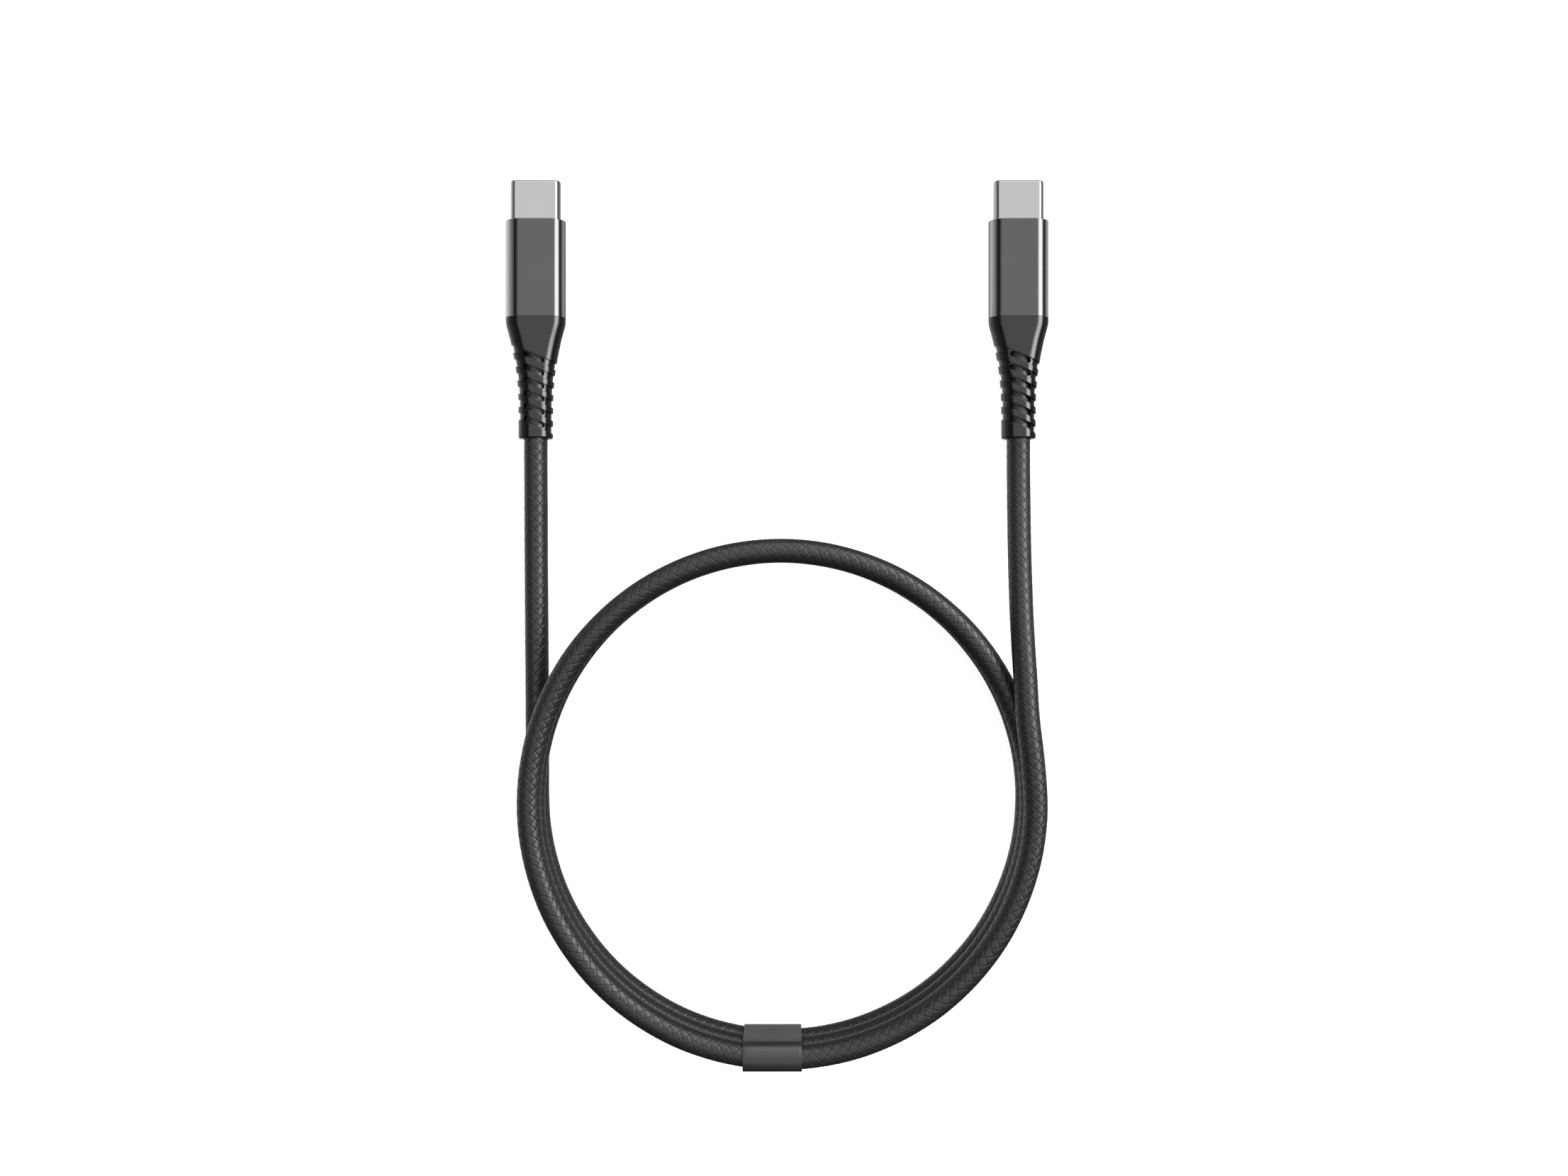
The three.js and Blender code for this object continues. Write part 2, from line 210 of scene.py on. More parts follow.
def coil_z(th):
    return CABLE_R + COIL_LIFT + 2 * CABLE_R * sum(smooth5((th - (360 * k + 8)) / 150.0) for k in (1, 2))


def cable_points():
    pts = [
        (-40.0, -3.375, 2.35), (-40.0, -12, 2.35), (-40.0, -21.325, 2.35), (-39.98, -32, 2.27),
        (-39.93, -46, 2.18), (-39.85, -58, 2.15), (-39.77, -70, 2.15),
    ]
    th = 180
    while th <= 1080:
        t = math.radians(th)
        s = math.sin(t)
        pts.append((COIL_C[0] - (0.215 * s * s if s > 0 else 0.0) + COIL_R * math.cos(t), COIL_C[1] + COIL_R * s, coil_z(th)))
        th += 6
    pts += [
        (41.0, -74.0, 9.77), (40.19, -66.9, 9.74), (39.87, -60.4, 9.25), (39.66, -55, 8.5), (39.56, -49.5, 7.5),
        (39.56, -44.5, 6.45), (39.65, -39, 5.15), (39.79, -33.8, 3.95), (39.91, -28.8, 2.92), (39.98, -24.6, 2.42),
        (40.0, -21.325, 2.35), (40.0, -12, 2.35), (40.0, -3.375, 2.35),
    ]
    return np.array(pts, float)


def dense_curve(p, step):
    """Centripetal Catmull-Rom through p."""
    q = np.vstack([2 * p[0] - p[1], p, 2 * p[-1] - p[-2]])
    out = []
    for i in range(1, len(q) - 2):
        p0, p1, p2, p3 = q[i - 1], q[i], q[i + 1], q[i + 2]
        t0 = 0.0
        t1 = t0 + np.linalg.norm(p1 - p0) ** 0.5
        t2 = t1 + np.linalg.norm(p2 - p1) ** 0.5
        t3 = t2 + np.linalg.norm(p3 - p2) ** 0.5
        n = max(2, int(np.linalg.norm(p2 - p1) / step))
        t = np.linspace(t1, t2, n, endpoint=False)[:, None]
        a1 = (t1 - t) / (t1 - t0) * p0 + (t - t0) / (t1 - t0) * p1
        a2 = (t2 - t) / (t2 - t1) * p1 + (t - t1) / (t2 - t1) * p2
        a3 = (t3 - t) / (t3 - t2) * p2 + (t - t2) / (t3 - t2) * p3
        b1 = (t2 - t) / (t2 - t0) * a1 + (t - t0) / (t2 - t0) * a2
        b2 = (t3 - t) / (t3 - t1) * a2 + (t - t1) / (t3 - t1) * a3
        out.append((t2 - t) / (t2 - t1) * b1 + (t - t1) / (t2 - t1) * b2)
    out.append(p[-1:])
    return np.vstack(out)


centre = dense_curve(cable_points(), 0.12)
seg = np.linalg.norm(np.diff(centre, axis=0), axis=1)
run = np.concatenate([[0.0], np.cumsum(seg)])
CABLE_LENGTH = float(run[-1])


def frames_along(c):
    """Tangents, and normals carried along without twist, starting straight up."""
    t = np.gradient(c, axis=0)
    t /= np.linalg.norm(t, axis=1)[:, None]
    n = np.zeros_like(c)
    n[0] = (0, 0, 1)
    n[0] -= t[0] * np.dot(t[0], n[0])
    n[0] /= np.linalg.norm(n[0])
    for i in range(1, len(c)):
        v = n[i - 1] - t[i] * np.dot(t[i], n[i - 1])
        n[i] = v / np.linalg.norm(v)
    return t, n


# ------------------------------------------------------------------- the cable
# Diamond braid of 12 carriers, 6 each way, each yarn over one and under one.
WAYS = 6  # yarns each way
BRAID_LEAD = 10.17  # length in which a yarn goes once round
BRAID_BASE = 1.858
YARN_RISE = 0.032
YARN_THICK = 0.034
GROOVE_DROP = 0.02
YARN_FLAT = 0.16  # how far a yarn lies flat instead of following the round of the cord
OFFSETS = np.array([-0.5, -0.455, -0.3, 0.0, 0.3, 0.455])


def yarn_profile(d):
    return np.clip(1 - np.abs(2 * d) ** 6, 0, None) ** 0.25


def build_cable():
    m = len(OFFSETS)
    b0 = -9
    units = int(2 * WAYS * CABLE_LENGTH / BRAID_LEAD) + 22
    ia = np.arange(WAYS * m)
    ib = np.arange(units * m)
    ca, cb = ia // m, ib // m + b0  # yarn numbers
    da, db = OFFSETS[ia % m], OFFSETS[ib % m]
    A, B = np.meshgrid(ca + da, cb + db, indexing="ij")
    CA, CB = np.meshgrid(ca, cb, indexing="ij")
    DA, DB = np.meshgrid(da, db, indexing="ij")
    ha = YARN_RISE * np.where(CA % 2 == 0, 1, -1) * np.cos(np.pi * B) + YARN_THICK * yarn_profile(DA)
    hb = -YARN_RISE * np.where(CB % 2 == 0, 1, -1) * np.cos(np.pi * A) + YARN_THICK * yarn_profile(DB)
    h = np.maximum(ha, hb)
    h = h + YARN_FLAT * BRAID_BASE * (1 - np.cos((DA - DB) * np.pi / WAYS))
    on_a, on_b = DA == -0.5, DB == -0.5
    h = np.where(on_a & ~on_b, YARN_THICK * yarn_profile(DB) - GROOVE_DROP, h)
    h = np.where(on_b & ~on_a, YARN_THICK * yarn_profile(DA) - GROOVE_DROP, h)
    h = np.where(on_a & on_b, -GROOVE_DROP, h)
    # 1 on the groove lines: stored as the groove attribute, which the braid material uses for painted shade, and used
    #                        here to keep the irregularity off the grooves
    groove = np.where(on_a | on_b, 1.0, 0.0)
    S = (A + B) * BRAID_LEAD / (2 * WAYS)
    PH = (A - B) * np.pi / WAYS
    # small, even irregularity so that no two yarns lie exactly alike
    h = h + 0.006 * np.sin(0.91 * CA + 2.3 * np.sin(0.37 * CB)) * (1 - groove) + 0.005 * np.sin(S * 0.43 + PH)
    R = BRAID_BASE + h

    t, n = frames_along(centre)
    sc = np.clip(S, 0, CABLE_LENGTH)
    pos = np.stack([np.interp(sc, run, centre[:, k]) for k in range(3)], -1)
    tt = np.stack([np.interp(sc, run, t[:, k]) for k in range(3)], -1)
    nn = np.stack([np.interp(sc, run, n[:, k]) for k in range(3)], -1)
    bb = np.cross(nn, tt)
    co = pos + R[..., None] * (np.cos(PH)[..., None] * nn + np.sin(PH)[..., None] * bb)

    nb = len(ib)
    ids = np.arange(WAYS * m * nb).reshape(WAYS * m, nb)
    # neighbour in +a; past the last yarn it is the first yarn again, WAYS units on
    right = np.full_like(ids, -1)
    right[:-1] = ids[1:]
    right[-1, : nb - WAYS * m] = ids[0, WAYS * m:]
    v0 = ids[:, :-1]
    v1 = ids[:, 1:]
    v2 = right[:, 1:]
    v3 = right[:, :-1]
    quads = np.stack([v0, v1, v2, v3], -1).reshape(-1, 4)
    cell_a = np.repeat(np.arange(WAYS * m)[:, None], nb - 1, 1).reshape(-1)
    cell_b = np.repeat(np.arange(nb - 1)[None, :], WAYS * m, 0).reshape(-1)
    ok = (quads >= 0).all(1)
    quads, cell_a, cell_b = quads[ok], cell_a[ok], cell_b[ok]
    # true arc positions of the corners, before the wrap
    a_edge = np.append(ca + da, WAYS - 0.5)
    b_edge = cb + db
    qa = np.stack([a_edge[cell_a], a_edge[cell_a], a_edge[cell_a + 1], a_edge[cell_a + 1]], -1)
    qb = np.stack([b_edge[cell_b], b_edge[cell_b + 1], b_edge[cell_b + 1], b_edge[cell_b]], -1)
    qs = (qa + qb) * BRAID_LEAD / (2 * WAYS)
    keep = (qs > 1e-6).any(1) & (qs < CABLE_LENGTH - 1e-6).any(1)
    quads, qa, qb, cell_a, cell_b = quads[keep], qa[keep], qb[keep], cell_a[keep], cell_b[keep]
    used, inv = np.unique(quads, return_inverse=True)
    quads = inv.reshape(quads.shape)
    verts = co.reshape(-1, 3)[used]
    groove = groove.reshape(-1)[used]
    # which yarn is on top decides how the fibres run: u across it, v along it
    ya = ca[cell_a]
    yb = cb[cell_b]
    a_top = ((ya + yb) % 2 == 0)[:, None]
    u = np.where(a_top, qa - ya[:, None], qb - yb[:, None])
    v = np.where(a_top, qb, qa)
    tone = np.where(a_top[:, 0], (ya * 37) % 11, ((yb % WAYS) * 53) % 13 + 20).astype(float)
    # end caps
    faces = quads.tolist()
    edges = {}
    for q in quads:
        for k in range(4):
            e = (int(q[k]), int(q[(k + 1) % 4]))
            edges[e] = True
    border = [e for e in edges if (e[1], e[0]) not in edges]
    verts = verts.tolist()
    groove = groove.tolist()
    uv = np.stack([u, v], -1).reshape(-1, 2).tolist()
    tones = tone.tolist()
    for end in (0, 1):
        mid = centre[-1] if end else centre[0]
        vid = len(verts)
        verts.append(mid.tolist())
        groove.append(0.0)
        for a, b in border:
            if np.linalg.norm(np.array(verts[a]) - mid) < 6.0:
                faces.append([b, a, vid])
                uv += [[0, 0], [0, 0], [0, 0]]
                tones.append(0.0)
    me = bpy.data.meshes.new("braided_cable")
    me.from_pydata((np.array(verts) * MM).tolist(), [], faces)
    me.polygons.foreach_set("use_smooth", [True] * len(me.polygons))
    layer = me.uv_layers.new(name="fibre")
    layer.data.foreach_set("uv", np.array(uv, np.float32).ravel())
    g = me.attributes.new("groove", "FLOAT", "POINT")
    g.data.foreach_set("value", np.array(groove, np.float32))
    tn = me.attributes.new("yarn", "FLOAT", "FACE")
    tn.data.foreach_set("value", np.array(tones, np.float32))
    me.update()
    obj = bpy.data.objects.new("braided_cable", me)
    scene.collection.objects.link(obj)
    return obj


cable = build_cable()
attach(cable, "cable")
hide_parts("left_lead", "right_lead", "wound_cable")


# ------------------------------------------------------------------- the band
def build_band():
    def ring(inset):
        """Points (y, z) of the sleeve's section, inset from its outside."""
        lo, hi = BAND_IN - BAND_WALL + inset, BAND_OUT + BAND_WALL - inset
        z0, z1 = BAND_LOW - BAND_WALL + inset, BAND_HIGH + BAND_WALL - inset
        r = BAND_ROUND + BAND_WALL - inset
        pts = []
        for cx, cz, a0 in ((hi - r, z1 - r, 0), (lo + r, z1 - r, 90), (lo + r, z0 + r, 180), (hi - r, z0 + r, 270)):
            for i in range(15):
                a = math.radians(a0 + 90.0 * i / 14)
                pts.append((cx + r * math.cos(a), cz + r * math.sin(a)))
            if a0 in (90, 270):
                nxt = 6
                zs = (z1 - r, z0 + r) if a0 == 90 else (z0 + r, z1 - r)
                x = lo if a0 == 90 else hi
                for i in range(1, nxt):
                    pts.append((x, zs[0] + (zs[1] - zs[0]) * i / nxt))
            else:
                xs = (hi - r, lo + r) if a0 == 0 else (lo + r, hi - r)
                z = z1 if a0 == 0 else z0
                pts.append(((xs[0] + xs[1]) / 2, z))
        return pts

    w = BAND_WIDTH / 2
    e = 0.05
    rows = []
    for k in range(4):
        a = math.radians(90 - 30 * k)
        rows.append((-w + e - e * math.sin(a), e - e * math.cos(a) if k else e))
    rows = [(-w, e), (-w + e * 0.29, e * 0.29), (-w + e, 0.0)]
    rows += [(-w + e + (2 * w - 2 * e) * i / 12, 0.0) for i in range(1, 12)]
    rows += [(w - e, 0.0), (w - e * 0.29, e * 0.29), (w, e)]
    rows += [(w, BAND_WALL - e), (w - e * 0.29, BAND_WALL - e * 0.29), (w - e, BAND_WALL)]
    rows += [(-w + e, BAND_WALL), (-w + e * 0.29, BAND_WALL - e * 0.29), (-w, BAND_WALL - e)]
    verts = []
    n = None
    for x, inset in rows:
        r = ring(inset)
        n = len(r)
        for y, z in r:
            verts.append((BAND_X + x, COIL_C[1] - y, z))
    faces = outward(verts, tube_faces(len(rows), n))
    return mesh_object("cable_band_sleeve", verts, faces, "band", ("cable_band",), sharp=50.0)


band = build_band()


# ------------------------------------------------------------------ the plugs
def plug_shift(side):
    return (-PLUG_X if side == "left" else PLUG_X, PLUG_Y, PLUG_Z)


def build_shell(side):
    def ring(inset):
        return oval_ring(SHELL_FLAT, SHELL_SIDE - inset, SHELL_R - inset, 16, 6)

    rows = [(-SHELL_RIM * (1 - math.sin(math.radians(90.0 * k / 8))), SHELL_RIM * (1 - math.cos(math.radians(90.0 * k / 8)))) for k in range(9)]
    rows += [(-0.01, SHELL_RIM + 0.02), (-0.05, SHELL_RIM + 0.025), (-0.11, SHELL_RIM - 0.015), (-0.17, SHELL_WALL)]
    rows += [(-2.0, SHELL_WALL), (-6.0, SHELL_WALL), (-SHELL_LENGTH + 0.03, SHELL_WALL), (-SHELL_LENGTH, SHELL_WALL - 0.03)]
    rows += [(-SHELL_LENGTH, 0.03), (-SHELL_LENGTH + 0.03, 0.0), (-9.0, 0.0), (-6.0, 0.0), (-3.0, 0.0), (-SHELL_RIM - 0.05, 0.0)]
    verts = along_y([(y, ring(i)) for y, i in rows])
    faces = outward(verts, tube_faces(len(rows), len(ring(0))))
    return mesh_object(f"{side}_shell", verts, faces, "cable", (f"{side}_connector_shell",), shift=plug_shift(side))


def build_collar(side):
    flat = COLLAR_HALF_W - SIDE

    def ring(inset):
        return oval_ring(flat, SIDE - inset, HALF_H - inset, 20, 6)

    hole = oval_ring(SHELL_FLAT, SHELL_SIDE + 0.05, SHELL_R + 0.05, 20, 6)
    e, r = 0.07, 0.03  # edge radii, front and rear
    f, b = COLLAR_FRONT, COLLAR_BACK
    rings = [(f, ring(e + 0.03))]
    for k in range(4):
        a = math.radians(30 * k)
        rings.append((f - e * (1 - math.cos(a)), ring(e * (1 - math.sin(a)))))
    rings.append((f - e - 0.04, ring(0.0)))
    for k in range(1, 8):
        rings.append((f - e + (b - f + e + r) * k / 8, ring(0.0)))
    rings.append((b + r + 0.04, ring(0.0)))
    for k in range(4):
        a = math.radians(30 * k)
        rings.append((b + r * (1 - math.sin(a)), ring(r * (1 - math.cos(a)))))
    rings += [(b, ring(r + 0.03)), (b, ring(COLLAR_WALL)), (f - COLLAR_LIP - 6, ring(COLLAR_WALL)), (f - COLLAR_LIP, ring(COLLAR_WALL))]
    rings += [(f - COLLAR_LIP, hole), (f, hole)]
    rings = rings[1:] + rings[:1]
    verts = along_y(rings)
    faces = outward(verts, tube_faces(len(rings), len(hole)))
    return mesh_object(f"{side}_metal_collar", verts, faces, "cable", (f"{side}_collar",), shift=plug_shift(side))


def pchip(xs, ys, x):
    """Monotone cubic through the points."""
    xs, ys = np.asarray(xs, float), np.asarray(ys, float)
    h, d = np.diff(xs), np.diff(ys) / np.diff(xs)
    m = np.zeros(len(xs))
    m[0], m[-1] = 0.0, d[-1]
    for i in range(1, len(xs) - 1):
        if d[i - 1] * d[i] > 0:
            w1, w2 = 2 * h[i] + h[i - 1], h[i] + 2 * h[i - 1]
            m[i] = (w1 + w2) / (w1 / d[i - 1] + w2 / d[i])
    x = min(max(x, xs[0]), xs[-1])
    i = min(int(np.searchsorted(xs, x, side="right")) - 1, len(xs) - 2)
    t = (x - xs[i]) / h[i]
    return ((1 + 2 * t) * (1 - t) ** 2 * ys[i] + t * (1 - t) ** 2 * h[i] * m[i]
            + t * t * (3 - 2 * t) * ys[i + 1] + t * t * (t - 1) * h[i] * m[i + 1])


BOOT_D = [d for d, _ in BOOT_WIDTH]
BOOT_W = [w / 2 for _, w in BOOT_WIDTH]


def boot_half(d):
    return float(pchip(BOOT_D, BOOT_W, d))


def boot_shear(t):
    """How much of the slots' slant a row at distance t has: none at the ends, all of it over the slots."""
    first, last = 5.3, SLOT_FIRST + (SLOT_COUNT - 1) * SLOT_PITCH + 0.68
    if t < first:
        return smoothstep(t / first) if t > 0 else 0.0
    if t > last:
        return 1 - smoothstep((t - last) / (19.67 - last))
    return 1.0


def build_boot(side):
    nc, nf = 16, 6
    slope = math.tan(SLOT_TILT)
    n = 4 * nc + 2 * nf
    rows = [(0.0, 0.02), (0.02, 0.0), (0.06, 0.0)]
    t = 0.4
    while t < 5.0:
        rows.append((t, 0.0))
        t += 0.35
    hw = RING_W / 2 / math.cos(SLOT_TILT)
    f = 0.05
    for k in range(SLOT_COUNT):
        c = SLOT_FIRST + k * SLOT_PITCH
        a, b = c - hw, c + hw
        rows += [(a - 0.35, 0.0), (a - f - 0.035, 0.0), (a - f, 0.0), (a - f * 0.5, f * 0.134), (a - f * 0.134, f * 0.5), (a, f)]
        rows += [(a, RING_DEPTH), (c - 0.2, RING_DEPTH), (c + 0.2, RING_DEPTH), (b, RING_DEPTH)]
        rows += [(b, f), (b + f * 0.134, f * 0.5), (b + f * 0.5, f * 0.134), (b + f, 0.0), (b + f + 0.035, 0.0)]
    last = SLOT_FIRST + (SLOT_COUNT - 1) * SLOT_PITCH + hw
    rows += [(last + 0.45, 0.0), (last + 0.9, 0.0)]
    e = 0.26
    end = BOOT_FRONT - BOOT_BACK
    rows += [(end - e - 0.05, 0.0)]
    for k in range(7):
        a = math.radians(15 * k)
        rows.append((end - e + e * math.sin(a), e * (1 - math.cos(a))))

    def section(half, inset):
        flat = max(half - SIDE, FLAT_MIN)
        return oval_ring(flat, half - flat - inset, HALF_H - inset, nc, nf)

    verts = []
    count = 0
    for t, inset in rows:
        g = boot_shear(t)
        if t >= end - e - 0.01:
            g = 0.0
        t = min(t, BOOT_FRONT - BOOT_BACK)
        # each point finds the width at the place it ends up
        half0 = boot_half(max(t, 0.0))
        ring = section(half0, inset)
        out = []
        for i, (x, z) in enumerate(ring):
            tt = t + x * slope * g
            for _ in range(5):
                hx = section(boot_half(min(max(tt, 0.0), end)), inset)[i][0]
                tt = t + hx * slope * g
            out.append((hx, BOOT_FRONT - max(tt, 0.0), z))
        verts += out
        count += 1
    tail = [
        (BOOT_BACK, circle_ring(BORE_R + 0.10, nc, nf)),
        (BOOT_BACK + 0.10, circle_ring(BORE_R, nc, nf)),
        (-34.0, circle_ring(BORE_R, nc, nf)),
        (-24.45, circle_ring(BORE_R, nc, nf)),
        (-24.45, circle_ring(NECK_R, nc, nf)),
        (-20.9, circle_ring(NECK_R, nc, nf)),
        (-20.9, oval_ring(2.0, 2.35, 1.75, nc, nf)),
        (BOOT_FRONT, oval_ring(2.0, 2.35, 1.75, nc, nf)),
    ]
    verts += along_y(tail)
    faces = outward(verts, tube_faces(count + len(tail), n))
    me = bpy.data.meshes.new(f"{side}_boot_raw")
    me.from_pydata((np.array(verts) * MM).tolist(), [], [list(f) for f in faces])
    me.update()
    raw = bpy.data.objects.new(f"{side}_boot_raw", me)
    scene.collection.objects.link(raw)

    # slots with round ends, cut through the top and the bottom wall
    cv, cf = [], []
    length = 2 * SLOT_HALF_X / math.cos(SLOT_TILT)
    for k in range(SLOT_COUNT):
        yc = COLLAR_BACK - SLOT_FIRST - k * SLOT_PITCH
        outline = []
        r = SLOT_W / 2
        for cx, a0 in ((length / 2 - r, -90), (-(length / 2 - r), 90)):
            for i in range(13):
                a = math.radians(a0 + 180.0 * i / 12)
                outline.append((cx + r * math.cos(a), r * math.sin(a)))
        ct, st = math.cos(-SLOT_TILT), math.sin(-SLOT_TILT)
        pts = [(x * ct - y * st, yc + x * st + y * ct) for x, y in outline]
        for z in (-4.0, 4.0):
            cv += [(x, y, z) for x, y in pts]
        o = 2 * k * len(pts)
        q = len(pts)
        cf.append([o + i for i in reversed(range(q))])
        cf.append([o + q + i for i in range(q)])
        for i in range(q):
            j = (i + 1) % q
            cf.append([o + i, o + j, o + q + j, o + q + i])
    cm = bpy.data.meshes.new("slot_cutter")
    cm.from_pydata((np.array(cv) * MM).tolist(), [], cf)
    cm.update()
    cutter = bpy.data.objects.new("slot_cutter", cm)
    scene.collection.objects.link(cutter)
    mod = raw.modifiers.new("slots", "BOOLEAN")
    mod.operation = "DIFFERENCE"
    mod.solver = "EXACT"
    mod.object = cutter
    bpy.context.view_layer.update()
    dg = bpy.context.evaluated_depsgraph_get()
    cut = bpy.data.meshes.new_from_object(raw.evaluated_get(dg))
    bpy.data.objects.remove(cutter)
    bpy.data.objects.remove(raw)
    bm = bmesh.new()
    bm.from_mesh(cut)
    bmesh.ops.remove_doubles(bm, verts=bm.verts, dist=2e-6)
    bmesh.ops.translate(bm, verts=bm.verts, vec=Vector(plug_shift(side)) * MM)
    bm.to_mesh(cut)
    bm.free()
    cut.name = f"{side}_boot"
    obj = bpy.data.objects.new(f"{side}_boot", cut)
    scene.collection.objects.link(obj)
    finish_shading(obj, True, 36.0)
    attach(obj, "cable")
    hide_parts(f"{side}_strain_relief")
    return obj


shells = [build_shell(s) for s in ("left", "right")]
collars = [build_collar(s) for s in ("left", "right")]
boots = [build_boot(s) for s in ("left", "right")]


# ------------------------------------------------------------------ materials
class Nodes:
    """Short names for building a node material."""

    def __init__(self, name):
        self.m = bpy.data.materials.new(name)
        self.m.use_nodes = True
        self.t = self.m.node_tree
        self.b = self.t.nodes["Principled BSDF"]
        self.coord = None

    def n(self, kind, **props):
        node = self.t.nodes.new(kind)
        for k, v in props.items():
            if k in node.inputs:
                node.inputs[k].default_value = v
            else:
                setattr(node, k, v)
        return node

    def link(self, a, b):
        self.t.links.new(a, b)

    def place(self, scale=(1, 1, 1), source="Object", rotation=(0, 0, 0)):
        if self.coord is None:
            self.coord = self.n("ShaderNodeTexCoord")
        mp = self.n("ShaderNodeMapping")
        mp.inputs["Scale"].default_value = scale
        mp.inputs["Rotation"].default_value = rotation
        self.link(self.coord.outputs[source], mp.inputs["Vector"])
        return mp.outputs["Vector"]

    def noise(self, vector, scale, detail=3.0, rough=0.5):
        k = self.n("ShaderNodeTexNoise")
        k.inputs["Scale"].default_value = scale
        k.inputs["Detail"].default_value = detail
        k.inputs["Roughness"].default_value = rough
        if vector is not None:
            self.link(vector, k.inputs["Vector"])
        return k.outputs["Fac"]

    def spread(self, value, lo, hi, a=0.3, b=0.7):
        r = self.n("ShaderNodeMapRange")
        r.inputs["From Min"].default_value = a
        r.inputs["From Max"].default_value = b
        r.inputs["To Min"].default_value = lo
        r.inputs["To Max"].default_value = hi
        self.link(value, r.inputs["Value"])
        return r.outputs["Result"]

    def mix(self, fac, c0, c1):
        k = self.n("ShaderNodeMix", data_type="RGBA")
        if hasattr(fac, "is_linked") or not isinstance(fac, (int, float)):
            self.link(fac, k.inputs["Factor"])
        else:
            k.inputs["Factor"].default_value = fac
        for c, i in ((c0, 6), (c1, 7)):
            if isinstance(c, tuple):
                k.inputs[i].default_value = (*c, 1.0) if len(c) == 3 else c
            else:
                self.link(c, k.inputs[i])
        return k.outputs[2]

    def math(self, op, a, b=None):
        k = self.n("ShaderNodeMath", operation=op)
        for v, i in ((a, 0), (b, 1)):
            if v is None:
                continue
            if isinstance(v, (int, float)):
                k.inputs[i].default_value = v
            else:
                self.link(v, k.inputs[i])
        return k.outputs[0]

    def bump(self, height, distance, strength=1.0, before=None):
        k = self.n("ShaderNodeBump")
        k.inputs["Strength"].default_value = strength
        k.inputs["Distance"].default_value = distance
        self.link(height, k.inputs["Height"])
        if before is not None:
            self.link(before, k.inputs["Normal"])
        return k.outputs["Normal"]

    def set(self, socket, value):
        if isinstance(value, (int, float, tuple)):
            self.b.inputs[socket].default_value = (*value, 1.0) if isinstance(value, tuple) and len(value) == 3 else value
        else:
            self.link(value, self.b.inputs[socket])


def metal(name, color, rough, spread=0.03, metallic=1.0, tint=0.06, grain=0.00000025, stretch=(1, 0.05, 1), convex_highlight=0.0):
    """Drawn or stamped metal: faint draw lines along the part, patchy polish and handling marks; convex_highlight
    paints a highlight, a lighter base colour on convex edges and sides.
    """
    k = Nodes(name)
    lines = k.noise(k.place((9000 * stretch[0], 9000 * stretch[1], 9000 * stretch[2])), 1.0, 4.0, 0.6)
    patches = k.noise(k.place((260, 140, 260)), 1.0, 3.0, 0.55)
    r = k.math("ADD", k.spread(lines, -spread * 0.5, spread * 0.5), k.spread(patches, rough - spread, rough + spread))
    k.set("Roughness", r)
    dark = tuple(c * (1 - tint) for c in color)
    light = tuple(min(1.0, c * (1 + tint)) for c in color)
    base = k.mix(k.spread(patches, 0.0, 1.0), dark, light)
    if convex_highlight:
        # painted highlight: the base colour is lightened where the surface is convex (pointiness), so the rounded sides
        # and edges look lit
        geo = k.n("ShaderNodeNewGeometry")
        convex_highlight_mask = k.spread(geo.outputs["Pointiness"], 0.0, convex_highlight, 0.53, 0.62)
        base = k.mix(convex_highlight_mask, base, tuple(min(1.0, c * 1.7 + 0.08) for c in color))
    k.set("Base Color", base)
    k.set("Metallic", metallic)
    k.set("Normal", k.bump(lines, grain, 0.5))
    return k.m


def plastic(name, color, rough, spread=0.04, specular=0.5, grain=0.0000012, grain_scale=9000, tint=0.12, ior=1.5):
    """Moulded plastic or rubber: fine moulding texture and slightly patchy gloss."""
    k = Nodes(name)
    fine = k.noise(k.place((grain_scale,) * 3), 1.0, 2.0, 0.6)
    patches = k.noise(k.place((320, 320, 320)), 1.0, 3.0, 0.6)
    k.set("Roughness", k.spread(patches, rough - spread, rough + spread))
    k.set("Base Color", k.mix(k.spread(patches, 0.0, 1.0), tuple(c * (1 - tint) for c in color), tuple(c * (1 + tint) for c in color)))
    k.set("Normal", k.bump(fine, grain, 0.5))
    k.set("Specular IOR Level", specular)
    k.set("IOR", ior)
    return k.m


